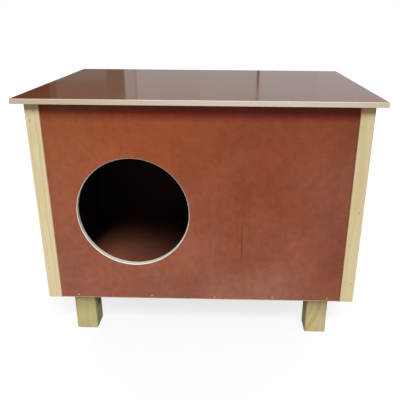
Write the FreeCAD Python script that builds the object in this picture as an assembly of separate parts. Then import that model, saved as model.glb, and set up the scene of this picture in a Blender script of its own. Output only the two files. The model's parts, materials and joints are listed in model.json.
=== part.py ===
"""Cat house: a film-faced plywood box on four legs, with a round entrance and a roof hinged at the back.

Millimetres, +Z up, front towards -Y. The origin lies on the ground under the middle of the roof.
"""
import FreeCAD, Part
import math
import os

Vector = FreeCAD.Vector

# Box of plywood panels
BOX_WIDTH = 600.0
BOX_DEPTH = 450.0
WALL_HEIGHT = 380.0
PANEL_THICKNESS = 12.0
PANEL_EASE = 0.5

# Round entrance in the front panel
ENTRANCE_DIAMETER = 208.0
ENTRANCE_FROM_LEFT = 176.0
ENTRANCE_ABOVE_BOTTOM = 179.0
ENTRANCE_EASE = 1.2

# Roof panel
ROOF_THICKNESS = 9.0
ROOF_SIDE_OVERHANG = 16.0
ROOF_END_OVERHANG = 25.0
ROOF_EASE = 0.6

# Cover laths up the front corners
LATH_WIDTH = 25.0
LATH_THICKNESS = 5.0
LATH_ROUNDING = 1.0
LATH_LIFT = 3.5

# Legs of batten, almost flush with the front and back
LEG_WIDTH = 42.0
LEG_DEPTH = 50.0
LEG_HEIGHT = 77.0
LEG_SIDE_INSET = 45.0
LEG_END_INSET = 10.0
LEG_ROUNDING = 4.0

# Butt hinges between the back panel and the roof
HINGE_LENGTH = 60.0
HINGE_FROM_SIDE = 120.0
HINGE_KNUCKLES = 3
LEAF_WIDTH = 20.0
LEAF_THICKNESS = 1.5
LEAF_CORNER = 3.0
PIN_DIAMETER = 3.0
PIN_HEAD_DIAMETER = 5.0
PIN_HEAD_THICKNESS = 1.2
PIN_CLEARANCE = 0.05
KNUCKLE_CLEARANCE = 0.3

# Countersunk screws
HINGE_SCREW_DIAMETER = 3.0
HINGE_SCREW_HEAD = 5.6
HINGE_SCREW_SHARES = (0.16, 0.5, 0.84)
HINGE_SCREW_COVER = 1.5
LEG_SCREW_DIAMETER = 4.5
LEG_SCREW_HEAD = 9.0
LEG_SCREW_LENGTH = 50.0
LEG_SCREW_SHARES = (0.3, 0.75)

# Nails with a flat head, tapered underneath
NAIL_DIAMETER = 1.8
NAIL_HEAD_DIAMETER = 3.6
LATH_NAIL_DIAMETER = 1.4
LATH_NAIL_HEAD_DIAMETER = 2.4
NAIL_HEAD_RIM = 0.4
NAIL_HEAD_TAPER = 0.6
NAIL_LENGTH = 30.0

# What all fasteners share
FASTENER_SIDES = 8
FASTENER_TIP = 2.5
FASTENER_TIP_RADIUS = 0.2
FASTENER_CLEARANCE = 0.05

# Rows of nails as shares of the panel's length or height, and how deep in its thickness the lath nails stand
FRONT_NAIL_SHARES = (0.08, 0.333, 0.55, 0.748, 0.935)
BACK_NAIL_SHARES = (0.08, 0.36, 0.64, 0.92)
WALL_NAIL_SHARES = (0.25, 0.5, 0.75)
FLOOR_NAIL_SHARES = (0.2, 0.5, 0.8)
LEFT_LATH_NAIL_SHARES = (0.17, 0.92)
RIGHT_LATH_NAIL_SHARES = (0.11, 0.495, 0.9)
LATH_NAIL_INSET = 0.62

# Faces and levels that several pieces share
half_width = BOX_WIDTH / 2
half_inside = half_width - PANEL_THICKNESS
front_face = -BOX_DEPTH / 2
back_face = BOX_DEPTH / 2
wall_bottom = LEG_HEIGHT
wall_top = wall_bottom + WALL_HEIGHT
floor_top = wall_bottom + PANEL_THICKNESS
floor_middle = wall_bottom + PANEL_THICKNESS / 2

# Hinge line, set off so that the knuckles clear the back panel and the roof
knuckle_bore = PIN_DIAMETER / 2 + PIN_CLEARANCE
knuckle_radius = knuckle_bore + LEAF_THICKNESS
hinge_offset = knuckle_radius + KNUCKLE_CLEARANCE
hinge_y = back_face + hinge_offset
hinge_z = wall_top - hinge_offset

RIGHT = Vector(1, 0, 0)
BACK = Vector(0, 1, 0)
UP = Vector(0, 0, 1)


def box(corner, opposite):
    """Box between two opposite corners, in any order."""
    low = Vector(min(corner.x, opposite.x), min(corner.y, opposite.y), min(corner.z, opposite.z))
    size = Vector(abs(opposite.x - corner.x), abs(opposite.y - corner.y), abs(opposite.z - corner.z))
    return Part.makeBox(size.x, size.y, size.z, low)


def turned(outline, start, direction):
    """Solid of revolution of (radius, depth) points about the line from start along direction."""
    sideways = Vector(direction.y, direction.z, direction.x)
    points = [start + sideways * radius + direction * depth for radius, depth in outline]
    return Part.Face(Part.makePolygon(points + points[:1])).revolve(start, direction, 360)


def drilled(shape, holes):
    """Shape with those of the holes that reach it cut out."""
    reached = [hole for hole in holes if hole.BoundBox.intersect(shape.BoundBox)]
    return shape.cut(reached)


def spread(low, high, shares):
    """Places between low and high, given as shares of the way."""
    return [low + share * (high - low) for share in shares]


# Nails and screws

def nail_outline(diameter, head_diameter):
    """A nail's (radius, depth) points."""
    head = head_diameter / 2
    shank = diameter / 2
    return [(head, 0), (head, NAIL_HEAD_RIM), (shank, NAIL_HEAD_RIM + NAIL_HEAD_TAPER),
            (shank, NAIL_LENGTH - FASTENER_TIP), (FASTENER_TIP_RADIUS, NAIL_LENGTH)]


def screw_outline(diameter, head_diameter, length):
    """A countersunk screw's (radius, depth) points."""
    head = head_diameter / 2
    shank = diameter / 2
    return [(head, 0), (shank, head - shank), (shank, length - FASTENER_TIP), (FASTENER_TIP_RADIUS, length)]


def flat_sided(outline, room, start, direction):
    """Solid with a polygon at each (radius, depth) point, flat faces between them and room added all round."""
    across = Vector(direction.y, direction.z, direction.x)
    along = direction.cross(across)
    turns = [2 * math.pi * side / FASTENER_SIDES for side in range(FASTENER_SIDES)]
    spokes = [across * math.cos(turn) + along * math.sin(turn) for turn in turns]
    rings = []
    for radius, depth in outline:
        middle = start + direction * depth
        rings.append([middle + spoke * (radius + room) for spoke in spokes])
    corners = [rings[0], rings[-1]]
    for ring, deeper in zip(rings, rings[1:]):
        for side in range(FASTENER_SIDES):
            corners.append([ring[side - 1], ring[side], deeper[side], deeper[side - 1]])
    faces = [Part.Face(Part.makePolygon(points + points[:1])) for points in corners]
    return Part.Solid(Part.Shell(faces))


def driven(outline, starts, direction):
    """Fasteners driven along direction with their heads flush at the starts, and their holes."""
    solids = [flat_sided(outline, 0, start, direction) for start in starts]
    holes = [flat_sided(outline, FASTENER_CLEARANCE, start, direction) for start in starts]
    return solids, holes


def floor_row(face, shares, direction):
    """Nails through the front or back panel into the edge of the floor."""
    starts = [Vector(x, face, floor_middle) for x in spread(-half_inside, half_inside, shares)]
    return driven(nail_outline(NAIL_DIAMETER, NAIL_HEAD_DIAMETER), starts, direction)


def side_rows(side):
    """Nails through one side panel into the edges of the front, back and floor panels."""
    x = side * half_width
    starts = []
    for y in (front_face + PANEL_THICKNESS / 2, back_face - PANEL_THICKNESS / 2):
        starts += [Vector(x, y, z) for z in spread(wall_bottom, wall_top, WALL_NAIL_SHARES)]
    starts += [Vector(x, y, floor_middle) for y in spread(front_face, back_face, FLOOR_NAIL_SHARES)]
    return driven(nail_outline(NAIL_DIAMETER, NAIL_HEAD_DIAMETER), starts, RIGHT * -side)


def lath_row(side, shares):
    """Nails through one cover lath into the front edge of the side panel."""
    x = side * (half_width - LATH_NAIL_INSET * PANEL_THICKNESS)
    starts = [Vector(x, front_face - LATH_THICKNESS, z) for z in spread(wall_bottom, wall_top, shares)]
    return driven(nail_outline(LATH_NAIL_DIAMETER, LATH_NAIL_HEAD_DIAMETER), starts, BACK)


# Panels, laths and legs

def panel(corner, opposite, ease):
    """Plywood panel with every arris lightly sanded."""
    blank = box(corner, opposite)
    return blank.makeChamfer(ease, blank.Edges)


def wall_across(face, inward):
    """Front or back panel, which fits between the side panels."""
    outer = Vector(-half_inside, face, wall_bottom)
    inner = Vector(half_inside, face + inward * PANEL_THICKNESS, wall_top)
    return panel(outer, inner, PANEL_EASE)


def front_panel():
    """Front panel with its round entrance, eased on both faces."""
    radius = ENTRANCE_DIAMETER / 2
    middle = Vector(ENTRANCE_FROM_LEFT - half_width, front_face, wall_bottom + ENTRANCE_ABOVE_BOTTOM)
    outline = [(0, 0), (radius + ENTRANCE_EASE, 0), (radius, ENTRANCE_EASE),
               (radius, PANEL_THICKNESS - ENTRANCE_EASE), (radius + ENTRANCE_EASE, PANEL_THICKNESS),
               (0, PANEL_THICKNESS)]
    return wall_across(front_face, 1).cut(turned(outline, middle, BACK))


def side_panel(side):
    """Side panel, which covers the ends of the front, back and floor panels."""
    outer = Vector(side * half_width, front_face, wall_bottom)
    return panel(outer, Vector(side * half_inside, back_face, wall_top), PANEL_EASE)


def floor_panel():
    """Floor between the four walls, level with their lower edges."""
    front = front_face + PANEL_THICKNESS
    back = back_face - PANEL_THICKNESS
    return panel(Vector(-half_inside, front, wall_bottom), Vector(half_inside, back, floor_top), PANEL_EASE)


def roof_panel():
    """Flat roof that rests on the walls and overhangs them."""
    x = half_width + ROOF_SIDE_OVERHANG
    front = front_face - ROOF_END_OVERHANG
    back = back_face + ROOF_END_OVERHANG
    return panel(Vector(-x, front, wall_top), Vector(x, back, wall_top + ROOF_THICKNESS), ROOF_EASE)


def lath(side):
    """Pine lath over the joint between the front panel and one side panel."""
    proud_face = front_face - LATH_THICKNESS
    outer = Vector(side * half_width, proud_face, wall_bottom + LATH_LIFT)
    blank = box(outer, Vector(side * (half_width - LATH_WIDTH), front_face, wall_top))
    front_edges = []
    for edge in blank.Edges:
        if edge.BoundBox.ZLength > WALL_HEIGHT / 2 and edge.BoundBox.YMax < front_face - LATH_THICKNESS / 2:
            front_edges.append(edge)
    return blank.makeFillet(LATH_ROUNDING, front_edges)


def leg_middle(side, end):
    """Middle of a leg on the ground: side is -1 for left, end is -1 for the front."""
    x = half_width - LEG_SIDE_INSET - LEG_WIDTH / 2
    y = BOX_DEPTH / 2 - LEG_END_INSET - LEG_DEPTH / 2
    return Vector(side * x, end * y, 0)


def leg(side, end):
    """Length of batten with rounded long edges."""
    middle = leg_middle(side, end)
    corner = Vector(LEG_WIDTH / 2, LEG_DEPTH / 2, 0)
    blank = box(middle - corner, middle + corner + UP * LEG_HEIGHT)
    long_edges = [edge for edge in blank.Edges if edge.BoundBox.ZLength > LEG_HEIGHT / 2]
    return blank.makeFillet(LEG_ROUNDING, long_edges)


def leg_screws():
    """Two screws through the floor into the top of each leg, in a row from front to back."""
    floor_end = BOX_DEPTH / 2 - PANEL_THICKNESS
    leg_end = BOX_DEPTH / 2 - LEG_END_INSET - LEG_DEPTH
    starts = []
    for side in (-1, 1):
        for end in (-1, 1):
            x = leg_middle(side, end).x
            starts += [Vector(x, end * y, floor_top) for y in spread(floor_end, leg_end, LEG_SCREW_SHARES)]
    return driven(screw_outline(LEG_SCREW_DIAMETER, LEG_SCREW_HEAD, LEG_SCREW_LENGTH), starts, UP * -1)


# Hinges

class Leaf:
    """Where one kind of hinge leaf lies: run leads to its free edge, seat to the panel under it."""

    def __init__(self, run, seat, knuckles, panel_thickness):
        self.run = run
        self.seat = seat
        self.knuckles = knuckles
        self.screw_length = LEAF_THICKNESS + panel_thickness - HINGE_SCREW_COVER


wall_leaf = Leaf(UP * -1, BACK * -1, 0, PANEL_THICKNESS)
roof_leaf = Leaf(BACK, UP, 1, ROOF_THICKNESS)


def hinge_start(side):
    """Left end of a hinge's axis."""
    return Vector(side * (half_width - HINGE_FROM_SIDE) - HINGE_LENGTH / 2, hinge_y, hinge_z)


def leaf_plate(start, leaf):
    """Flat plate of a leaf on its panel, rounded at the two free corners."""
    face = start + leaf.seat * hinge_offset
    far = face - leaf.seat * LEAF_THICKNESS + leaf.run * LEAF_WIDTH + RIGHT * HINGE_LENGTH
    plate = box(face, far)
    corners = []
    for edge in plate.Edges:
        from_axis = (edge.CenterOfMass - start).dot(leaf.run)
        if edge.Length < 2 * LEAF_THICKNESS and from_axis > LEAF_WIDTH / 2:
            corners.append(edge)
    return plate.makeFillet(LEAF_CORNER, corners)


def hinge_leaf(start, leaf):
    """Plate with knuckles curled round the axis, notched where the other leaf's knuckles turn."""
    barrel = Part.makeCylinder(knuckle_radius, HINGE_LENGTH, start, RIGHT)
    bore = Part.makeCylinder(knuckle_bore, HINGE_LENGTH, start, RIGHT)
    pitch = HINGE_LENGTH / HINGE_KNUCKLES
    room = KNUCKLE_CLEARANCE / 2
    notches = []
    for place in range(1 - leaf.knuckles, HINGE_KNUCKLES, 2):
        left = start + RIGHT * (place * pitch - room)
        right = start + RIGHT * ((place + 1) * pitch + room)
        inner = (leaf.run + leaf.seat) * hinge_offset
        outer = (leaf.run + leaf.seat) * -2 * knuckle_radius
        notches.append(box(left + inner, right + outer))
    return leaf_plate(start, leaf).fuse(barrel).cut([bore] + notches).removeSplitter()


def hinge_pin(start):
    """Pin with a flat head at each end."""
    shank = PIN_DIAMETER / 2
    head = PIN_HEAD_DIAMETER / 2
    end = 2 * PIN_HEAD_THICKNESS + HINGE_LENGTH
    outline = [(0, 0), (head, 0), (head, PIN_HEAD_THICKNESS), (shank, PIN_HEAD_THICKNESS),
               (shank, end - PIN_HEAD_THICKNESS), (head, end - PIN_HEAD_THICKNESS), (head, end), (0, end)]
    return turned(outline, start - RIGHT * PIN_HEAD_THICKNESS, RIGHT)


def hinge_screws(leaf):
    """Row of screws through one kind of leaf, at both hinges."""
    row = leaf.run * ((hinge_offset + LEAF_WIDTH) / 2)
    outer = leaf.seat * (hinge_offset - LEAF_THICKNESS)
    starts = []
    for side in (-1, 1):
        places = spread(0, HINGE_LENGTH, HINGE_SCREW_SHARES)
        starts += [hinge_start(side) + row + outer + RIGHT * place for place in places]
    outline = screw_outline(HINGE_SCREW_DIAMETER, HINGE_SCREW_HEAD, leaf.screw_length)
    return driven(outline, starts, leaf.seat)


# Fasteners first, because the other pieces are drilled for them
fasteners = {
    "front_nails": floor_row(front_face, FRONT_NAIL_SHARES, BACK),
    "back_nails": floor_row(back_face, BACK_NAIL_SHARES, BACK * -1),
    "left_side_nails": side_rows(-1),
    "right_side_nails": side_rows(1),
    "left_lath_nails": lath_row(-1, LEFT_LATH_NAIL_SHARES),
    "right_lath_nails": lath_row(1, RIGHT_LATH_NAIL_SHARES),
    "leg_screws": leg_screws(),
    "hinge_wall_screws": hinge_screws(wall_leaf),
    "hinge_roof_screws": hinge_screws(roof_leaf),
}
nodes = {name: Part.makeCompound(solids) for name, (solids, holes) in fasteners.items()}
all_holes = [hole for solids, holes in fasteners.values() for hole in holes]

# Box, roof, laths and legs
timber = {
    "front_panel": front_panel(),
    "back_panel": wall_across(back_face, -1),
    "left_side_panel": side_panel(-1),
    "right_side_panel": side_panel(1),
    "floor_panel": floor_panel(),
    "roof_panel": roof_panel(),
    "left_front_lath": lath(-1),
    "right_front_lath": lath(1),
    "front_left_leg": leg(-1, -1),
    "front_right_leg": leg(1, -1),
    "back_left_leg": leg(-1, 1),
    "back_right_leg": leg(1, 1),
}
nodes.update({name: drilled(shape, all_holes) for name, shape in timber.items()})

# Two hinges
for name, side in (("left", -1), ("right", 1)):
    start = hinge_start(side)
    nodes[name + "_hinge_wall_leaf"] = drilled(hinge_leaf(start, wall_leaf), all_holes)
    nodes[name + "_hinge_roof_leaf"] = drilled(hinge_leaf(start, roof_leaf), all_holes)
    nodes[name + "_hinge_pin"] = hinge_pin(start)

os.makedirs("parts", exist_ok=True)
for name, shape in nodes.items():
    shape.exportStep("parts/" + name + ".step")
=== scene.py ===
"""Looks of the cat house: materials, round fasteners, floor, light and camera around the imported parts.

Metres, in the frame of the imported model: +Z up, front towards -Y. In the named values, a noise is its scale
per metre, its detail and its roughness. A step is where it starts and ends, and often the amounts there.
Places on a piece are shares of its size, tints are factors for red, green and blue, and a seed that ends in
SEED is added to the panel's own.
"""
import json
import math

import bmesh
import bpy
from mathutils import Matrix, Vector


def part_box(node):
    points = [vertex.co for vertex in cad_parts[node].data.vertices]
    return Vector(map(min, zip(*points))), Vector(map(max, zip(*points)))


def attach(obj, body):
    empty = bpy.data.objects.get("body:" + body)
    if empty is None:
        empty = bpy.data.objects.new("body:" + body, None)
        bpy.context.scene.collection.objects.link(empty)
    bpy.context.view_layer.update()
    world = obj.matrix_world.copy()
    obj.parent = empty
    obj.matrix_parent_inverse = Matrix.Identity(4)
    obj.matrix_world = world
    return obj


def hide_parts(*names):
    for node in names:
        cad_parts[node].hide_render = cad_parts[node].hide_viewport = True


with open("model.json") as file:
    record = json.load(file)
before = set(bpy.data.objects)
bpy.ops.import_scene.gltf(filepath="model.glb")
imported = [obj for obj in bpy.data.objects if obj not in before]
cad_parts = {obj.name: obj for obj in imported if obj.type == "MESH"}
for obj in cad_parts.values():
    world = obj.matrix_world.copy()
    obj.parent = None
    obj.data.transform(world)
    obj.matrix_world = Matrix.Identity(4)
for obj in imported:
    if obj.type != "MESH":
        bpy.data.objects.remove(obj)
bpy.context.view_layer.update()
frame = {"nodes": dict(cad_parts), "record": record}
nodes = frame["nodes"]

MM = 0.001
RIGHT = Vector((1, 0, 0))
BACK = Vector((0, 1, 0))
UP = Vector((0, 0, 1))
EVERY_WAY = RIGHT + BACK + UP


def shade(red, green, blue):
    """Linear colour of an 8-bit screen colour."""
    shares = [c / 255 for c in (red, green, blue)]
    return tuple(((s + 0.055) / 1.055) ** 2.4 if s > 0.04045 else s / 12.92 for s in shares)


class Nodes:
    """Short calls for the nodes of a tree. A value is a number, a tuple, a vector or a node's socket."""

    def __init__(self, tree):
        self.tree = tree

    def put(self, socket, value):
        if isinstance(value, bpy.types.NodeSocket):
            self.tree.links.new(value, socket)
        elif socket.type == "RGBA":
            socket.default_value = tuple(value) + (1,)
        else:
            socket.default_value = value

    def node(self, kind, values, output=0, **settings):
        made = self.tree.nodes.new(kind)
        for name, setting in settings.items():
            setattr(made, name, setting)
        for name, value in values.items():
            self.put(made.inputs[name], value)
        return made.outputs[output]

    def math(self, operation, first, second=0.0):
        return self.node("ShaderNodeMath", {0: first, 1: second}, operation=operation)

    def times(self, first, second):
        return self.math("MULTIPLY", first, second)

    def most(self, first, second):
        return self.math("MAXIMUM", first, second)

    def least(self, first, second):
        return self.math("MINIMUM", first, second)

    def off(self, value, middle):
        """How far a value is from a middle, either way."""
        return self.math("ABSOLUTE", self.math("SUBTRACT", value, middle))

    def total(self, *weighted):
        """Sum of (value, weight) pairs."""
        parts = [self.times(value, weight) for value, weight in weighted]
        result = parts[0]
        for part in parts[1:]:
            result = self.math("ADD", result, part)
        return result

    def vector(self, operation, first, second=(0, 0, 0)):
        return self.node("ShaderNodeVectorMath", {0: first, 1: second}, operation=operation)

    def minus(self, first, second):
        return self.vector("SUBTRACT", first, second)

    def tinted(self, colour, tint):
        return self.vector("MULTIPLY", colour, tint)

    def scaled(self, vector, factor):
        return self.node("ShaderNodeVectorMath", {0: vector, "Scale": factor}, operation="SCALE")

    def dot(self, vector, direction):
        return self.node("ShaderNodeVectorMath", {0: vector, 1: direction}, "Value", operation="DOT_PRODUCT")

    def length(self, vector):
        return self.node("ShaderNodeVectorMath", {0: vector}, "Value", operation="LENGTH")

    def parts(self, vector):
        """The three numbers of a vector."""
        return self.node("ShaderNodeSeparateXYZ", {0: vector}).node.outputs

    def lottery(self, number):
        """Fixed random share for a whole number."""
        return self.node("ShaderNodeTexWhiteNoise", {"W": number}, noise_dimensions="1D")

    def between(self, value, low, high, first=0.0, last=1.0):
        """Smooth step from first at low to last at high."""
        values = {"Value": value, "From Min": low, "From Max": high, "To Min": first, "To Max": last}
        return self.node("ShaderNodeMapRange", values, interpolation_type="SMOOTHSTEP")

    def choose(self, factor, first, second):
        """Number between first, at 0, and second, at 1."""
        return self.node("ShaderNodeMix", {0: factor, 2: first, 3: second}, 0, data_type="FLOAT")

    def mix(self, factor, first, second):
        """Colour between first, at 0, and second, at 1."""
        return self.node("ShaderNodeMix", {0: factor, 6: first, 7: second}, 2, data_type="RGBA")

    def ramp(self, value, stops, colours):
        """Colour between two colours, at two stops."""
        made = self.tree.nodes.new("ShaderNodeValToRGB")
        self.put(made.inputs[0], value)
        for point, stop, colour in zip(made.color_ramp.elements, stops, colours):
            point.position = stop
            point.color = tuple(colour) + (1,)
        return made.outputs[0]

    def seen(self):
        """1 where the camera, a mirror or a clear body looks, and 0 where light is gathered."""
        rays = self.tree.nodes.new("ShaderNodeLightPath").outputs
        mirrored = self.most(rays["Is Glossy Ray"], rays["Is Transmission Ray"])
        return self.most(rays["Is Camera Ray"], mirrored)


class Surface(Nodes):
    """One material, and the place and normal on the object that wears it."""

    def __init__(self, name):
        self.material = bpy.data.materials.new(name)
        self.material.use_nodes = True
        super().__init__(self.material.node_tree)
        spot = self.tree.nodes.new("ShaderNodeTexCoord").outputs
        self.place = spot["Object"]
        self.normal = spot["Normal"]

    def noise(self, scale, detail, roughness, seed):
        """Noise with one scale, or with one for each axis."""
        scales = EVERY_WAY * scale if isinstance(scale, float) else scale
        place = self.vector("MULTIPLY", self.place, scales)
        values = {"Vector": place, "W": seed, "Scale": 1.0, "Detail": detail, "Roughness": roughness}
        return self.node("ShaderNodeTexNoise", values, noise_dimensions="4D")

    def bump(self, height, depth, strength=1.0):
        return self.node("ShaderNodeBump", {"Height": height, "Distance": depth, "Strength": strength})

    def finish(self, **values):
        """The material, once its shader has these values."""
        shader = self.tree.nodes["Principled BSDF"]
        for name, value in values.items():
            self.put(shader.inputs[name.replace("_", " ")], value)
        return self.material


def drawn_out(grain, along, across):
    """Scales of a noise along and across a grain."""
    return (EVERY_WAY - grain) * across + grain * along


# Film: its colours, the tints that it drifts between, and those of painted shade at a corner, a side and
# under the roof, and of a painted reflection
FILM_WARM = shade(150, 77, 41)
# FILM_DEEP is the film under painted shade
FILM_DEEP = shade(130, 63, 36)
# FILM_PALE is the colour of pale clouds and painted reflection
FILM_PALE = shade(149, 91, 72)
FILM_CRACK = shade(84, 38, 27)
ROOF_FILM = shade(128, 77, 52)
# Inside the house the film is darker, as painted shade
SHADED_INNER_FILM = shade(58, 31, 23)
FLOOR_FILM = shade(120, 70, 54)
FILM_OLIVE = (0.995, 1.04, 0.91)
FILM_PLUM = (1.005, 0.965, 1.09)
FILM_ROOF_SHADE = (0.88, 0.4, 0.48)
FILM_LOW_REFLECTION = (1.13, 1.34, 1.55)
FILM_CORNER_SHADE = (0.74, 0.85, 0.98)

# Pattern of the film, as clouds, blotches, specks and streaks: scale along and across the grain, detail,
# roughness, weight. How strong it is differs on walls, on the roof and inside
FILM_PATTERN = (
    (11, 11, 3.0, 0.55, 0.35),
    (75, 75, 3.0, 0.6, 0.3),
    (520, 520, 2.0, 0.6, 0.5),
    (5, 130, 3.0, 0.6, 0.1),
)
FILM_CONTRAST = (0.475, 0.775)
HUE_NOISE = (70.0, 3.0, 0.65)
HUE_STEP = (0.38, 0.62)
WALL_MOTTLE = 0.2
ROOF_MOTTLE = 0.1
INNER_MOTTLE = 0.15


def mottled(surface, colour, grain, strength, seed):
    """Film colour with clouds, blotches, specks, drifting hue and faint streaks of the veneer along grain."""
    layers = []
    for number, (along, across, detail, roughness, weight) in enumerate(FILM_PATTERN):
        layer = surface.noise(drawn_out(grain, along, across), detail, roughness, seed + number)
        layers.append((layer, weight))
    lightness = surface.between(surface.total(*layers), *FILM_CONTRAST, 1 - strength, 1 + strength)
    hue = surface.between(surface.noise(*HUE_NOISE, seed + len(FILM_PATTERN)), *HUE_STEP)
    drifting = surface.tinted(colour, surface.mix(hue, FILM_OLIVE, FILM_PLUM))
    return surface.scaled(drifting, lightness)


# Film outside on the walls, up from the lower edge and across to the side of the painted shade
# Painted shade, across to one side and upwards
DEEPER_UP = 0.35
DEEPER_STEP = (0.3, 1.05)
# Pale clouds, partly random and partly painted reflection, and painted reflection as haze along both sides
PALE_ACROSS = 0.3
PALE_NOISE = (9.0, 4.0, 0.65)
PALE_CLOUDS = 1.3
PALE_STEP = (0.65, 1.65, 0.95, 0.0)
PALE_SEED = 5
HAZE_LEVEL = 0.45
HAZE_HEIGHT = (0.15, 0.5, 1.0, 0.0)
SIDE_HAZES = ((0.65, 0.9, 0.0, 0.42), (0.0, 0.3, 0.5, 0.0))
# Painted shade at an upper corner and along the deeper side
CORNER_UP = 0.6
CORNER_SHADE_STEP = (-0.62, -0.3, 1.0, 0.0)
SIDE_SHADE_STEP = (0.85, 1.0, 0.0, 0.5)
# Painted reflection as a paler, bluer patch low in the middle
LOW_REFLECTION_MIDDLE = 0.67
LOW_REFLECTION_WIDTH = (0.09, 0.2, 1.0, 0.0)
LOW_REFLECTION_HEIGHT = (0.0, 0.25, 1.0, 0.0)
# Painted shade close under the roof, a deeper red
ROOF_SHADE_HEIGHT = (0.91, 0.96)
ROOF_SHADE_ACROSS = (0.0, 0.45, 0.3, 1.0)


def wall_film(surface, share, darker_to, grain, seed):
    """Film outside on a wall: painted shade to one side and upwards, and pale clouds, partly painted
    reflection, to the other side and the bottom.

    Painted reflection lies as haze along both sides and as a paler, bluer patch low in the middle. Painted
    shade darkens an upper corner and the deeper side, and close under the roof painted shade makes the film a
    deeper red.
    """
    across = surface.dot(share, darker_to)
    up = surface.dot(share, UP)
    # Painted shade towards one side and upwards
    deeper = surface.between(surface.dot(share, darker_to + UP * DEEPER_UP), *DEEPER_STEP)
    # Pale clouds, partly random and partly painted reflection, and painted reflection as haze along the sides
    clear = surface.dot(share, darker_to * PALE_ACROSS + UP)
    clouds = surface.noise(*PALE_NOISE, seed + PALE_SEED)
    pale = surface.between(surface.total((clear, 1.0), (clouds, PALE_CLOUDS)), *PALE_STEP)
    halfway_up = surface.between(surface.off(up, HAZE_LEVEL), *HAZE_HEIGHT)
    for side in SIDE_HAZES:
        pale = surface.most(pale, surface.times(surface.between(across, *side), halfway_up))
    colour = surface.mix(pale, surface.mix(deeper, FILM_WARM, FILM_DEEP), FILM_PALE)
    # Painted shade at an upper corner and the deeper side
    from_corner = surface.dot(share, darker_to - UP * CORNER_UP)
    darker_tint = surface.most(surface.between(from_corner, *CORNER_SHADE_STEP), surface.between(across, *SIDE_SHADE_STEP))
    # Painted reflection, paler and bluer, low in the middle
    low_reflection_across = surface.between(surface.off(across, LOW_REFLECTION_MIDDLE), *LOW_REFLECTION_WIDTH)
    low_reflection = surface.times(low_reflection_across, surface.between(up, *LOW_REFLECTION_HEIGHT))
    # Painted shade close under the roof
    roof_shade = surface.times(surface.between(up, *ROOF_SHADE_HEIGHT), surface.between(across, *ROOF_SHADE_ACROSS))
    for amount, tint in ((darker_tint, FILM_CORNER_SHADE), (low_reflection, FILM_LOW_REFLECTION), (roof_shade, FILM_ROOF_SHADE)):
        colour = surface.mix(amount, colour, surface.tinted(colour, tint))
    return mottled(surface, colour, grain, WALL_MOTTLE, seed)


# Film inside on the floor, with a painted pool of light from the front and the left
LIT_POOL_TO_BACK = (0.15, 1.0, 1.4, 0.24)
LIT_POOL_SLANT = 0.12
LIT_POOL_PAST_CORNER = (-0.05, 0.01, 0.1, 1.0)
LIT_POOL_TO_RIGHT = (0.1, 0.4, 1.2, 0.5)


def floor_film(surface, share):
    """Film on the floor, paler with a painted pool of light inside the entrance, and darker with painted
    shade away from there.
    """
    # Painted light inside the entrance, and painted shade to the back, along the left wall and to the right
    to_back = surface.between(surface.dot(share, BACK), *LIT_POOL_TO_BACK)
    past_corner = surface.between(surface.dot(share, RIGHT - BACK * LIT_POOL_SLANT), *LIT_POOL_PAST_CORNER)
    to_right = surface.between(surface.dot(share, RIGHT), *LIT_POOL_TO_RIGHT)
    return surface.scaled(FLOOR_FILM, surface.times(surface.times(to_back, past_corner), to_right))


# Cracks: how far they wander, their width from full strength to none, and the share of their length from the
# middle that has it
CRACK_NOISE = (60.0, 2.0, 0.5)
CRACK_WANDER = 2 * MM
CRACK_WIDTH = (0.2 * MM, 2.2 * MM)
CRACK_FULL = 0.3


def cracked(surface, cracks, seed):
    """Strength of fine upright cracks in the face veneer: (x, lowest z, highest z, strength) each."""
    wobble = surface.noise(*CRACK_NOISE, seed)
    x = surface.total((surface.dot(surface.place, RIGHT), 1.0), (wobble, CRACK_WANDER))
    z = surface.dot(surface.place, UP)
    amount = 0.0
    for crack_x, low, high, strength in cracks:
        line = surface.between(surface.off(x, crack_x + CRACK_WANDER / 2), *CRACK_WIDTH, strength, 0.0)
        half = (high - low) / 2
        length = surface.between(surface.off(z, low + half), CRACK_FULL * half, half, 1.0, 0.0)
        amount = surface.most(amount, surface.times(line, length))
    return amount


# Bare plywood edges: colours of the two directions of plies, their fibres, glue lines, and tints along the
# roof edge
FRONT_BIRCH = (shade(246, 242, 231), shade(229, 222, 206))
WALL_BIRCH = (shade(230, 221, 202), shade(212, 201, 179))
ROOF_BIRCH = (shade(211, 201, 181), shade(195, 182, 158))
BIRCH_GLUE = shade(172, 146, 112)
BIRCH_CHIP = shade(214, 186, 148)
PLY_FIBRES = (30, 900)
PLY_NOISE = (2.0, 0.5)
PLY_CONTRAST = 0.35
PLY_STOPS = (0.2, 0.75)
GLUE_LINE = (0.36, 0.5, 0.0, 0.7)
EDGE_MIDDLE_TINT = (1.05, 1.09, 1.19)
EDGE_END_TINT = (0.9, 0.865, 0.79)
EDGE_LIGHTEST_AT = 0.62
EDGE_TONE_STEP = (0.1, 0.6)
OUTER_PLIES = (0.3, 0.42, 0.95, 1.12)


def birch_edge(surface, birch, depth, plies, thin, seed):
    """Colour of a plywood edge, whose plies lie across each other, at a share depth of the thickness."""
    layer = surface.times(depth, plies)
    odd = surface.math("MODULO", surface.math("FLOOR", layer), 2.0)
    grains = [axis for axis in (RIGHT, BACK, UP) if thin.dot(axis) == 0]
    fibres = [surface.noise(drawn_out(grain, *PLY_FIBRES), *PLY_NOISE, seed) for grain in grains]
    tone = surface.total((odd, PLY_CONTRAST), (surface.choose(odd, *fibres), 1 - PLY_CONTRAST))
    glue = surface.between(surface.off(surface.math("FRACT", layer), 0.5), *GLUE_LINE)
    return surface.mix(glue, surface.ramp(tone, PLY_STOPS, birch), BIRCH_GLUE)


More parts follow.
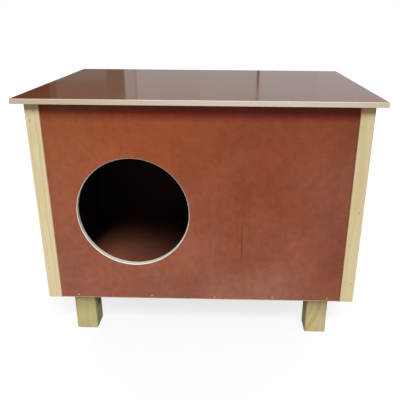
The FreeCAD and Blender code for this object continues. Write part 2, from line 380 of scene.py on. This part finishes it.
def toned_roof_edge(surface, edge, share, depth):
    """Edge of the roof: lighter and cooler right of the middle, darker and tanner to both ends, and lighter
    in its outer plies.
    """
    darker_tint = surface.between(surface.off(surface.dot(share, RIGHT), EDGE_LIGHTEST_AT), *EDGE_TONE_STEP)
    toned = surface.tinted(edge, surface.mix(darker_tint, EDGE_MIDDLE_TINT, EDGE_END_TINT))
    return surface.scaled(toned, surface.between(surface.off(depth, 0.5), *OUTER_PLIES))


# Chips: how far the film is chipped off beside a sawn edge, at most, and how much less round the entrance
CHIPS = 3.2 * MM
RIM_CHIPS_LESS = 1.9 * MM
CHIP_NOISE = (260.0, 3.0, 0.7)
CHIP_BLEND = 0.2 * CHIPS
CHIP_STRENGTH = 0.8
CHIP_SEED = 9


def chipped(surface, share, size, thin, hole, seed):
    """Where the film is chipped off along the edges of a panel of a size, and round its hole."""
    middle = EVERY_WAY / 2
    from_middle = surface.vector("ABSOLUTE", surface.minus(share, middle))
    inset = surface.vector("MULTIPLY", surface.minus(middle, from_middle), size)
    # The panel's thin direction is put far off, so that only its sawn edges count
    x, y, z = surface.parts(surface.vector("ADD", inset, thin))
    nearest = surface.least(surface.least(x, y), z)
    if hole:
        centre, radius = hole
        spoke = surface.vector("MULTIPLY", surface.minus(surface.place, centre), EVERY_WAY - thin)
        past_rim = surface.math("SUBTRACT", surface.length(spoke), radius - RIM_CHIPS_LESS)
        nearest = surface.least(nearest, past_rim)
    ragged = surface.noise(*CHIP_NOISE, seed)
    reach = surface.total((nearest, 1.0), (ragged, -CHIPS))
    return surface.between(reach, -CHIP_BLEND, CHIP_BLEND, CHIP_STRENGTH, 0.0)


# Finish of the film: roughness where it is smooth and dull, depth of its orange peel, and gloss
WALL_FINISH = (0.4, 0.52, 0.03 * MM, 0.18)
ROOF_FINISH = (0.06, 0.1, 0.003 * MM, 0.5)
PEEL_NOISE = (500.0, 2.0, 0.5)
SMEAR_NOISE = (35.0, 3.0, 0.6)
SMEAR_STEP = (0.3, 0.75)
SMEAR_SEED = 3
INNER_SEED = 7
EDGE_ROUGHNESS = 0.7
FACE_ON = 0.9


class Panel:
    """How one panel is faced: outward and grain are directions, and darker_to is where the painted shade on
    its film deepens.
    """

    def __init__(self, outward, plies, grain, seed, darker_to=None, birch=WALL_BIRCH, hole=None, cracks=(),
                 floor=False, roof=False):
        self.outward = outward
        self.thin = Vector([abs(c) for c in outward])
        self.plies = plies
        self.grain = grain
        self.seed = seed
        self.darker_to = darker_to
        self.birch = birch
        self.hole = hole
        self.cracks = cracks
        self.floor = floor
        self.roof = roof


def plywood(node, panel):
    """Film-faced plywood: film on both broad faces, chipped along the edges, and bare plies on the edges."""
    low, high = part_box(node)
    seed = panel.seed
    surface = Surface(node + "_plywood")
    facing = surface.dot(surface.normal, panel.outward)
    inner = surface.math("LESS_THAN", facing, -FACE_ON)
    faced = surface.math("ADD", surface.math("GREATER_THAN", facing, FACE_ON), inner)
    share = surface.vector("DIVIDE", surface.minus(surface.place, low), high - low)
    depth = surface.dot(share, panel.thin)
    edge = birch_edge(surface, panel.birch, depth, panel.plies, panel.thin, seed)
    if panel.roof:
        outside = mottled(surface, ROOF_FILM, panel.grain, ROOF_MOTTLE, seed)
        edge = toned_roof_edge(surface, edge, share, depth)
    else:
        outside = wall_film(surface, share, panel.darker_to, panel.grain, seed)
    if panel.cracks:
        outside = surface.mix(cracked(surface, panel.cracks, seed), outside, FILM_CRACK)
    # The inside faces carry painted shade, and the floor a painted pool of light
    inside = floor_film(surface, share) if panel.floor else SHADED_INNER_FILM
    inside = mottled(surface, inside, panel.grain, INNER_MOTTLE, seed + INNER_SEED)
    chips = chipped(surface, share, high - low, panel.thin, panel.hole, seed + CHIP_SEED)
    skin = surface.mix(inner, surface.mix(chips, outside, BIRCH_CHIP), inside)
    smooth, dull, peel_depth, gloss = ROOF_FINISH if panel.roof else WALL_FINISH
    smears = surface.between(surface.noise(*SMEAR_NOISE, seed + SMEAR_SEED), *SMEAR_STEP, smooth, dull)
    return surface.finish(
        Base_Color=surface.mix(faced, edge, skin),
        Roughness=surface.choose(faced, EDGE_ROUGHNESS, smears),
        Normal=surface.bump(surface.noise(*PEEL_NOISE, seed), peel_depth),
        Specular_IOR_Level=gloss,
    )


# Softwood: colours of early wood, late wood and stains, of a dark spot, and the tint of painted light at a
# top
LEFT_PINE = (shade(236, 224, 184), shade(215, 187, 120), shade(222, 202, 160))
# The right lath's pine is darker than the left's, as painted shade
SHADED_RIGHT_PINE = (shade(224, 210, 168), shade(205, 177, 113), shade(214, 193, 150))
TREATED = (shade(205, 196, 140), shade(179, 163, 101), shade(189, 170, 132))
TREATED_RED = (shade(207, 198, 141), shade(178, 144, 92), shade(204, 186, 150))
DARK_SPOT = shade(70, 44, 22)
# Tint of painted light at the top of laths and legs
WOOD_LIT_TOP_TINT = (1.12, 1.0, 0.92)
LIT_TOP_BLEND = 0.05

# Growth rings, which wander by a length at most, with late wood that rises and falls in each, and the fibres,
# patches and stains
RING_NOISE = ((28, 28, 6), 2.0, 0.5)
RING_WANDER = 14 * MM
LATE_RISE = (0.2, 0.8)
LATE_FALL = (0.84, 1.0, 1.0, 0.0)
LATE_LUCK = (0.2, 1.0)
FIBRE_NOISE = ((1200, 1200, 25), 3.0, 0.6)
FIBRE_WEIGHT = 0.25
PATCH_NOISE = ((45, 45, 18), 3.0, 0.6)
PATCH_WEIGHT = 0.3
WOOD_STOPS = (0.12, 0.85)
STAIN_STEP = (0.42, 0.66)
DARK_SPOT_STEP = (1.0, 1.5, 0.85, 0.0)
WOOD_BUMP = (0.1 * MM, 0.6)
WOOD_ROUGHNESS = (0.2, 0.8, 0.55, 0.75)


class Wood:
    """A kind of softwood: colours of early wood, late wood and stains, strength of the stains, and gloss.

    Painted shade darkens it from a share of a piece's height upwards, at the top by a share of its colour,
    and painted light makes it lighter and warmer again from another share of the height.
    """

    def __init__(self, colours, stains, gloss, shade_from, shade_by, lit_top_from):
        self.early, self.late, self.stain = colours
        self.stains = stains
        self.gloss = gloss
        self.shade_from = shade_from
        self.shade_by = shade_by
        self.lit_top_from = lit_top_from


class Timber:
    """How a piece of wood was sawn: the pith passes a point, from the piece's lowest corner, along lean.

    The rings have a spacing, a contrast, and an evenness from one ring to the next. A dark spot has a place,
    from the lowest corner, and a radius.
    """

    def __init__(self, wood, pith, lean, spacing, contrast, even, seed, dark_spot=None):
        self.wood = wood
        self.pith = Vector(pith)
        self.lean = Vector(lean).normalized()
        self.spacing = spacing
        self.contrast = contrast
        self.even = even
        self.seed = seed
        self.dark_spot = dark_spot


def late_wood(surface, timber, low):
    """Share of late wood in the growth rings, which are of uneven strength, round the pith."""
    from_pith = surface.minus(surface.place, low + timber.pith)
    along = surface.dot(from_pith, timber.lean)
    radius = surface.length(surface.minus(from_pith, surface.scaled(timber.lean, along)))
    wave = surface.noise(*RING_NOISE, timber.seed)
    per_metre = 1 / timber.spacing
    rings = surface.total((radius, per_metre), (wave, RING_WANDER * per_metre), (timber.seed, 1.0))
    year = surface.math("FLOOR", rings)
    season = surface.math("FRACT", rings)
    late = surface.times(surface.between(season, *LATE_RISE), surface.between(season, *LATE_FALL))
    return surface.times(late, surface.between(surface.lottery(year), *LATE_LUCK, timber.even, 1.0))


def solid_wood(node, timber):
    """Sawn softwood: growth rings, fibres along the piece, stained patches and perhaps a dark round spot."""
    low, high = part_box(node)
    wood = timber.wood
    surface = Surface(node + "_wood")
    fibre = surface.noise(*FIBRE_NOISE, timber.seed + 1)
    patches = surface.noise(*PATCH_NOISE, timber.seed + 2)
    late = late_wood(surface, timber, low)
    tone = surface.total((late, timber.contrast), (fibre, FIBRE_WEIGHT), (patches, PATCH_WEIGHT))
    colour = surface.ramp(tone, WOOD_STOPS, (wood.early, wood.late))
    colour = surface.mix(surface.between(patches, *STAIN_STEP, 0.0, wood.stains), colour, wood.stain)
    if timber.dark_spot:
        centre, radius = timber.dark_spot
        from_spot = surface.length(surface.minus(surface.place, low + Vector(centre)))
        spotted = surface.between(surface.total((from_spot, 1 / radius), (patches, 1.0)), *DARK_SPOT_STEP)
        colour = surface.mix(spotted, colour, DARK_SPOT)
    height = surface.dot(surface.minus(surface.place, low), UP / (high - low).z)
    # Painted shade, darker towards the top
    top_shaded = surface.scaled(colour, surface.between(height, wood.shade_from, 1.0, 1.0, 1 - wood.shade_by))
    # Painted light: lighter and warmer again at the top
    lit_top_or_new = surface.between(height, wood.lit_top_from, wood.lit_top_from + LIT_TOP_BLEND)
    return surface.finish(
        Base_Color=surface.mix(lit_top_or_new, top_shaded, surface.tinted(colour, WOOD_LIT_TOP_TINT)),
        Roughness=surface.between(fibre, *WOOD_ROUGHNESS),
        Normal=surface.bump(fibre, *WOOD_BUMP),
        Specular_IOR_Level=wood.gloss,
    )


# Metal: colours at both ends of its clouds, how much duller the clouds are, and its scratches
ZINC = (shade(196, 198, 202), shade(214, 214, 214))
NAIL_BRIGHT = (shade(164, 138, 126), shade(186, 164, 152))
NAIL_RUSTY = (shade(150, 112, 82), shade(180, 146, 110))
SCREW_PLATED = (shade(190, 188, 180), shade(212, 208, 198))
SCREW_DULL = (shade(120, 108, 84), shade(142, 130, 104))
CLOUD_NOISE = (350.0, 3.0, 0.6)
CLOUD_STOPS = (0.3, 0.7)
CLOUDS_DULLER = 0.15
SCRATCH_NOISE = ((80, 2500, 2500), 2.0, 0.6)
SCRATCH_BUMP = (0.02 * MM, 0.7)


def metal(name, colours, roughness, seed):
    """Plated steel with cloudy plating and fine scratches."""
    surface = Surface(name)
    clouds = surface.noise(*CLOUD_NOISE, seed)
    scratches = surface.noise(*SCRATCH_NOISE, seed + 1)
    return surface.finish(
        Base_Color=surface.ramp(clouds, CLOUD_STOPS, colours),
        Roughness=surface.between(clouds, *CLOUD_STOPS, roughness, roughness + CLOUDS_DULLER),
        Normal=surface.bump(scratches, *SCRATCH_BUMP),
        Metallic=1.0,
    )


def dress(node, material):
    """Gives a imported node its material."""
    mesh = nodes[node].data
    mesh.materials.clear()
    mesh.materials.append(material)


# Entrance, where the film ends at the eased rim, and cracks in the front panel: x, lowest z, highest z,
# strength
RIM_EASE = 1.2 * MM
entrance = next(mount for mount in frame["record"]["mounts"] if mount["name"] == "entrance")
ENTRANCE = (Vector(entrance["pos_m"]), entrance["dims"]["r_mm"] * MM + RIM_EASE)
FRONT_CRACKS = ((0.079, 0.150, 0.259, 0.6), (0.093, 0.201, 0.250, 0.3), (0.071, 0.205, 0.245, 0.2))

WALL_PLIES = 9
ROOF_PLIES = 7
PANELS = {
    "front_panel": Panel(
        -BACK, WALL_PLIES, UP, 1.0, RIGHT, birch=FRONT_BIRCH, hole=ENTRANCE, cracks=FRONT_CRACKS),
    "back_panel": Panel(BACK, WALL_PLIES, UP, 12.0, -RIGHT),
    "left_side_panel": Panel(-RIGHT, WALL_PLIES, UP, 23.0, BACK),
    "right_side_panel": Panel(RIGHT, WALL_PLIES, UP, 34.0, BACK),
    "floor_panel": Panel(-UP, WALL_PLIES, RIGHT, 45.0, BACK, floor=True),
    "roof_panel": Panel(UP, ROOF_PLIES, RIGHT, 56.0, birch=ROOF_BIRCH, roof=True),
}
for node, panel in PANELS.items():
    dress(node, plywood(node, panel))

# Planed laths, and sawn legs with their stains: the wood of each, a point on its pith and the pith's lean
# Each wood darkens towards the top as painted shade, and is lighter again at the very top as painted light
PLANED = {"stains": 0.4, "gloss": 0.3, "shade_from": 0, "shade_by": 0.14, "lit_top_from": 0.93}
SAWN = {"gloss": 0.06, "shade_from": 0.35, "shade_by": 0.4, "lit_top_from": 0.86}
left_pine = Wood(LEFT_PINE, **PLANED)
shaded_right_pine = Wood(SHADED_RIGHT_PINE, **PLANED)
treated = Wood(TREATED, stains=0.9, **SAWN)
treated_red = Wood(TREATED_RED, stains=0.8, **SAWN)
LEFT_LEG_DARK_SPOT = ((0.042, 0.031, 0.050), 15 * MM)
TIMBERS = {
    "left_front_lath": Timber(
        left_pine, (0.05, 0.03, 0), (0.004, 0, 1), spacing=4.2 * MM, contrast=0.4, even=0.1, seed=3.0),
    "right_front_lath": Timber(
        shaded_right_pine, (-0.012, 0.06, 0), (0.03, 0.01, 1), spacing=6 * MM, contrast=0.22, even=0.1, seed=14.0),
    "front_left_leg": Timber(
        treated, (-0.02, 0.08, 0), (0.1, 0, 1), spacing=9 * MM, contrast=0.15, even=0.3, seed=5.0,
        dark_spot=LEFT_LEG_DARK_SPOT),
    "front_right_leg": Timber(
        treated_red, (-0.014, 0, 0.075), (0, 0.62, 1), spacing=12.5 * MM, contrast=0.34, even=0.5, seed=16.0),
    "back_left_leg": Timber(
        treated, (0.06, 0.03, 0), (0.02, 0.05, 1), spacing=6 * MM, contrast=0.4, even=0.3, seed=27.0),
    "back_right_leg": Timber(
        treated, (0.02, 0.07, 0), (0.05, 0.02, 1), spacing=5 * MM, contrast=0.4, even=0.3, seed=38.0),
}
for node, timber in TIMBERS.items():
    dress(node, solid_wood(node, timber))

zinc = metal("zinc_plate", ZINC, roughness=0.28, seed=2.0)
for side in ("left", "right"):
    for piece in ("wall_leaf", "roof_leaf", "pin"):
        dress(side + "_hinge_" + piece, zinc)

SAME_POINT = 1e-6


def islands(node):
    """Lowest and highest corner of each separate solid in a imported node."""
    cells = bmesh.new()
    cells.from_mesh(nodes[node].data)
    bmesh.ops.remove_doubles(cells, verts=cells.verts, dist=SAME_POINT)
    left = set(cells.verts)
    found = []
    while left:
        reached = [left.pop()]
        for vertex in reached:
            linked = [edge.other_vert(vertex) for edge in vertex.link_edges]
            lit_top_or_new = [other for other in linked if other in left]
            left.difference_update(lit_top_or_new)
            reached += lit_top_or_new
        corners = [[vertex.co[axis] for vertex in reached] for axis in range(3)]
        found.append((Vector([min(c) for c in corners]), Vector([max(c) for c in corners])))
    cells.free()
    return sorted(found, key=lambda pair: tuple(pair[0]))


# Nails and screws, in shares of the head's radius. The crown is a curve of radius and share of its height
CROWN_HEIGHT = 0.05
CROWN_CURVE = ((0.45, 1.0), (0.8, 0.6), (0.96, 0.0))
NAIL_RIM = (0.1, 0.25)
NAIL_NECK = 0.6
NAIL_SHANK = 0.5
SCREW_RIM = 0.08
RECESS_ARM = 0.58
RECESS_HALF_WIDTH = 0.13
RECESS_DEPTH = 0.5
RECESS_TAPER = 0.7
TIP = 0.1

# Their sides, lengths, radii of shanks, and the angle from which an edge is sharp
NAIL_SIDES = 24
SCREW_SIDES = 32
POINT_LENGTH = 2.5 * MM
HINGE_SCREW_SHANK = 1.5 * MM
LEG_SCREW_SHANK = 2.25 * MM
SHARP_ANGLE = math.radians(35)


def ring(cells, place, radius, depth, sides):
    """Circle of vertices round the -Z axis of place."""
    turns = [2 * math.pi * step / sides for step in range(sides)]
    points = [Vector((radius * math.cos(turn), radius * math.sin(turn), -depth)) for turn in turns]
    return [cells.verts.new(place @ point) for point in points]


def join(cells, first, second):
    """Band of faces between two rings of vertices."""
    for step in range(len(first)):
        cells.faces.new((first[step - 1], first[step], second[step], second[step - 1]))


def nail(cells, place, head, length):
    """Nail with a slightly crowned head."""
    shank = NAIL_SHANK * head
    outline = [(radius * head, -height * CROWN_HEIGHT * head) for radius, height in CROWN_CURVE]
    outline += [(head, depth * head) for depth in NAIL_RIM]
    outline += [(shank, NAIL_NECK * head), (shank, length - POINT_LENGTH), (TIP * head, length)]
    rings = [ring(cells, place, radius, depth, NAIL_SIDES) for radius, depth in outline]
    cells.faces.new(rings[0])
    cells.faces.new(reversed(rings[-1]))
    for first, second in zip(rings, rings[1:]):
        join(cells, second, first)


def cross(head):
    """Corners of a cross recess, a quarter at a time."""
    arm = RECESS_ARM * head
    half = RECESS_HALF_WIDTH * head
    quarter = [(arm, half), (half, half), (half, arm)]
    corners = []
    for _ in range(4):
        corners += quarter
        quarter = [(-y, x) for x, y in quarter]
    return corners


def screw(cells, place, head, shank, length):
    """Countersunk screw with a cross recess in its flat head."""
    corners = cross(head)
    rim = ring(cells, place, head, 0, SCREW_SIDES)
    mouth = [cells.verts.new(place @ Vector((x, y, 0))) for x, y in corners]
    deep = -RECESS_DEPTH * head
    floor = [cells.verts.new(place @ Vector((RECESS_TAPER * x, RECESS_TAPER * y, deep))) for x, y in corners]
    join(cells, floor, mouth)
    cells.faces.new(floor)
    edges = []
    for loop in (rim, mouth):
        for step in range(len(loop)):
            pair = (loop[step - 1], loop[step])
            edges.append(cells.edges.get(pair) or cells.edges.new(pair))
    bmesh.ops.triangle_fill(cells, edges=edges, use_beauty=True)
    below = [(head, SCREW_RIM * head), (shank, head - shank)]
    below += [(shank, length - POINT_LENGTH), (TIP * head, length)]
    rings = [rim] + [ring(cells, place, radius, depth, SCREW_SIDES) for radius, depth in below]
    for first, second in zip(rings, rings[1:]):
        join(cells, second, first)
    cells.faces.new(reversed(rings[-1]))


def hinge_screw(cells, place, head, length):
    screw(cells, place, head, HINGE_SCREW_SHANK, length)


def leg_screw(cells, place, head, length):
    screw(cells, place, head, LEG_SCREW_SHANK, length)


def round_fasteners(node, body, drive, make, material, slot):
    """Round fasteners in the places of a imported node's flat-sided ones, driven along drive."""
    cells = bmesh.new()
    turn = UP.rotation_difference(-drive).to_matrix().to_4x4()
    for low, high in islands(node):
        size = high - low
        length = abs(size.dot(drive))
        head = max(size[axis] for axis in range(3) if drive[axis] == 0) / 2
        start = (low + high) / 2 - drive * (length / 2)
        make(cells, Matrix.Translation(start) @ turn, head, length)
    bmesh.ops.recalc_face_normals(cells, faces=cells.faces)
    mesh = bpy.data.meshes.new(node + "_round")
    cells.to_mesh(mesh)
    cells.free()
    mesh.polygons.foreach_set("use_smooth", [True] * len(mesh.polygons))
    mesh.set_sharp_from_angle(angle=SHARP_ANGLE)
    mesh.materials.append(material)
    piece = bpy.data.objects.new(node + "_round", mesh)
    bpy.context.scene.collection.objects.link(piece)
    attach(piece, body)
    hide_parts(node)


bright_nail = metal("bright_nail_steel", NAIL_BRIGHT, roughness=0.45, seed=4.0)
rusty_nail = metal("weathered_nail_steel", NAIL_RUSTY, roughness=0.5, seed=6.0)
plated_screw = metal("plated_screw_steel", SCREW_PLATED, roughness=0.28, seed=8.0)
dull_screw = metal("dull_screw_steel", SCREW_DULL, roughness=0.5, seed=9.0)
FASTENERS = (
    ("front_nails", "house", BACK, nail, bright_nail, "nail_steel"),
    ("back_nails", "house", -BACK, nail, bright_nail, "nail_steel"),
    ("left_side_nails", "house", RIGHT, nail, bright_nail, "nail_steel"),
    ("right_side_nails", "house", -RIGHT, nail, bright_nail, "nail_steel"),
    ("left_lath_nails", "house", BACK, nail, rusty_nail, "nail_steel"),
    ("right_lath_nails", "house", BACK, nail, rusty_nail, "nail_steel"),
    ("leg_screws", "house", -UP, leg_screw, dull_screw, "screw_steel"),
    ("hinge_wall_screws", "house", -BACK, hinge_screw, plated_screw, "screw_steel"),
    ("hinge_roof_screws", "roof", UP, hinge_screw, plated_screw, "screw_steel"),
)
for row in FASTENERS:
    round_fasteners(*row)


def sheet(name, mesh_name, corners, material):
    """Flat four-sided piece of the studio."""
    mesh = bpy.data.meshes.new(mesh_name)
    mesh.from_pydata(corners, [], [(0, 1, 2, 3)])
    mesh.materials.append(material)
    made = bpy.data.objects.new(name, mesh)
    bpy.context.scene.collection.objects.link(made)
    return made


# Floor, which looks white to the camera and to reflections, apart from the shadow near the object
FLOOR_HALF = 15.0
FLOOR_COLOUR = 0.25
FLOOR_ROUGHNESS = 0.9
FLOOR_GLOW = (0.77, 0.95)
FLOOR_GLOW_REACH = (0.8, 3.0)
TOOTH_NOISE = (300.0, 2.0, 0.5)
TOOTH_STEP = (0.2, 0.8)
TOOTH_SHADE = 0.01
paper = Surface("pale_paper")
tooth = paper.noise(*TOOTH_NOISE, seed=0.0)
glow = paper.between(paper.length(paper.place), *FLOOR_GLOW_REACH, *FLOOR_GLOW)
paper_material = paper.finish(
    Base_Color=paper.between(tooth, *TOOTH_STEP, FLOOR_COLOUR - TOOTH_SHADE, FLOOR_COLOUR + TOOTH_SHADE),
    Roughness=FLOOR_ROUGHNESS,
    Specular_IOR_Level=0.0,
    Emission_Color=(1, 1, 1),
    Emission_Strength=paper.times(paper.seen(), glow),
)
floor_corners = [(-FLOOR_HALF, -FLOOR_HALF, 0), (FLOOR_HALF, -FLOOR_HALF, 0),
                 (FLOOR_HALF, FLOOR_HALF, 0), (-FLOOR_HALF, FLOOR_HALF, 0)]
floor = sheet("studio_floor", "studio_floor", floor_corners, paper_material)

# Grey cards behind the house, which only reflections see: left, right, bottom, top, colour
CARD_DISTANCE = 2.0
CARD_END = 4.0
CARD_TOP = 1.6
POST = (0.203, 0.219)
POST_TOP = 0.73
LEFT_STEP = 0.7
CARDS = (
    (-CARD_END, -0.985, 0, CARD_TOP, (0.013, 0.008, 0.01)),
    (-0.985, -0.945, 0, CARD_TOP, (0.08, 0.06, 0.045)),
    (-0.945, -0.65, 0, LEFT_STEP, (0.16, 0.18, 0.17)),
    (-0.945, -0.65, LEFT_STEP, CARD_TOP, (0.135, 0.11, 0.08)),
    (-0.65, -0.5475, 0, CARD_TOP, (0.11, 0.105, 0.083)),
    (-0.5475, -0.492, 0, CARD_TOP, (0.345, 0.35, 0.335)),
    (-0.492, -0.478, 0, CARD_TOP, (0.29, 0.29, 0.28)),
    (-0.478, -0.114, 0, CARD_TOP, (0.405, 0.405, 0.41)),
    (-0.114, POST[0], 0, CARD_TOP, (0.41, 0.425, 0.43)),
    (*POST, 0, POST_TOP, (0.14, 0.13, 0.12)),
    (*POST, POST_TOP, CARD_TOP, (0.26, 0.25, 0.24)),
    (POST[1], 0.55, 0, CARD_TOP, (0.455, 0.465, 0.475)),
    (0.55, CARD_END, 0, CARD_TOP, (0.465, 0.485, 0.5)),
)
for number, (left, right, bottom, top, colour) in enumerate(CARDS):
    name = "grey_card_%d" % number
    grey = Surface(name).finish(
        Base_Color=(0, 0, 0), Specular_IOR_Level=0.0, Emission_Color=colour, Emission_Strength=1.0)
    outline = [(left, bottom), (right, bottom), (right, top), (left, top)]
    card = sheet(name, "grey_card", [(x, CARD_DISTANCE, z) for x, z in outline], grey)
    card.visible_camera = False
    card.visible_diffuse = False
    card.visible_transmission = False
    card.visible_shadow = False

# World: white to the camera and to reflections, dimmer and warmer as a light
WORLD_LIGHT = 0.26
WORLD_TONE = (1.0, 0.85, 0.78)
world = bpy.data.worlds.new("studio")
bpy.context.scene.world = world
world.use_nodes = True
sky = Nodes(world.node_tree)
background = sky.tree.nodes["Background"]
seen = sky.seen()
sky.put(background.inputs["Strength"], sky.choose(seen, WORLD_LIGHT, 1.0))
sky.put(background.inputs["Color"], sky.mix(seen, WORLD_TONE, (1, 1, 1)))

# Soft lamps, the key above the camera and two weaker ones behind: turn from the front and elevation in
# degrees, power, and whether reflections see the lamp
LAMP_AIM = Vector((0, -0.2, 0.3))
LAMP_DISTANCE = 5.0
LAMP_SIZE = 2.2
LAMP_TONE = (0.98, 1.0, 1.02)
LAMPS = {
    "key": (6, 41.5, 248.0, True),
    "left_back": (-135, 25, 105.0, False),
    "right_back": (135, 25, 105.0, False),
}
for name, (turn, elevation, power, mirrored) in LAMPS.items():
    lamp_data = bpy.data.lights.new(name, "AREA")
    lamp_data.shape = "DISK"
    lamp_data.size = LAMP_SIZE
    lamp_data.energy = power
    lamp_data.color = LAMP_TONE
    lamp = bpy.data.objects.new(name, lamp_data)
    bpy.context.scene.collection.objects.link(lamp)
    flat = math.cos(math.radians(elevation))
    sideways = math.sin(math.radians(turn))
    forwards = math.cos(math.radians(turn))
    towards_lamp = Vector((sideways * flat, -forwards * flat, math.sin(math.radians(elevation))))
    lamp.location = LAMP_AIM + towards_lamp * LAMP_DISTANCE
    lamp.rotation_euler = towards_lamp.to_track_quat("Z", "Y").to_euler()
    lamp.visible_glossy = mirrored

# Camera, for a square picture of 400 pixels, with the focal length and the offset of its centre in pixels
PICTURE = 400
FOCAL_PIXELS = 533.3
CENTRE_OFFSET = (16.4, 47.6)
CAMERA_PLACE = Vector((0.0520, -1.1521, 0.6017))
CAMERA_PITCH = math.radians(23.95)
CAMERA_YAW = math.radians(-1.27)
CAMERA_ROLL = math.radians(0.40)
SENSOR = 36.0
camera_data = bpy.data.cameras.new("camera")
camera_data.sensor_width = SENSOR
camera_data.lens = SENSOR * FOCAL_PIXELS / PICTURE
camera_data.shift_x = -CENTRE_OFFSET[0] / PICTURE
camera_data.shift_y = CENTRE_OFFSET[1] / PICTURE
camera = bpy.data.objects.new("camera", camera_data)
bpy.context.scene.collection.objects.link(camera)
heading = Vector((math.sin(CAMERA_YAW), math.cos(CAMERA_YAW), 0))
ahead = heading * math.cos(CAMERA_PITCH) - UP * math.sin(CAMERA_PITCH)
level = Vector((heading.y, -heading.x, 0))
rolled = Matrix.Rotation(-CAMERA_ROLL, 3, ahead) @ level
facing = Matrix((rolled, rolled.cross(ahead), -ahead)).transposed()
camera.matrix_world = Matrix.LocRotScale(CAMERA_PLACE, facing.to_quaternion(), None)
bpy.context.scene.camera = camera
bpy.context.scene.view_settings.view_transform = "Standard"
